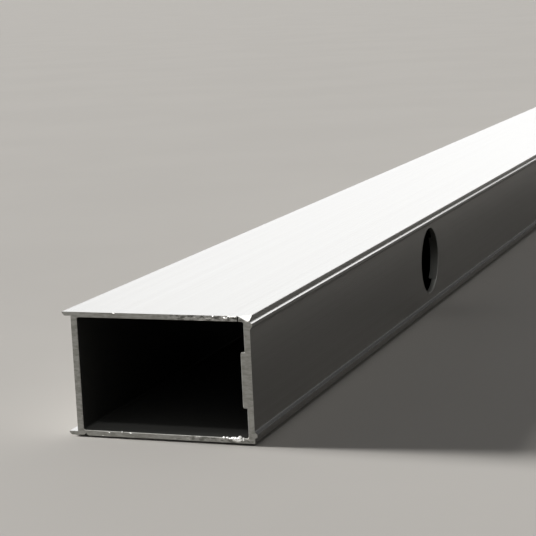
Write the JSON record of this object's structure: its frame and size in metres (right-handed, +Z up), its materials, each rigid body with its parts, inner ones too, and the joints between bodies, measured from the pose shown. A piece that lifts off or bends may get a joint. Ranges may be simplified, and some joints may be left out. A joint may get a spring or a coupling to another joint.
{
  "type": "aluminium extrusion profile",
  "caption": "Hollow rectangular aluminium extrusion with side lips, clip ridges, an inner rib and a round hole; bar stock for frames.",
  "frame": {"origin": "middle of the footprint, on the surface that the profile lies on", "axes": "+X along the length, +Y towards the side with the lips, +Z up; the sawn end that the hole is nearest to is at -X"},
  "size_m": [1, 0.04, 0.025],
  "materials": {
    "anodised_aluminium": "natural silver anodised, satin, with fine lines along the length; bare metal on the sawn ends"
  },
  "bodies": {
    "root": {"hollow_profile": "anodised_aluminium"}
  },
  "joints": []
}
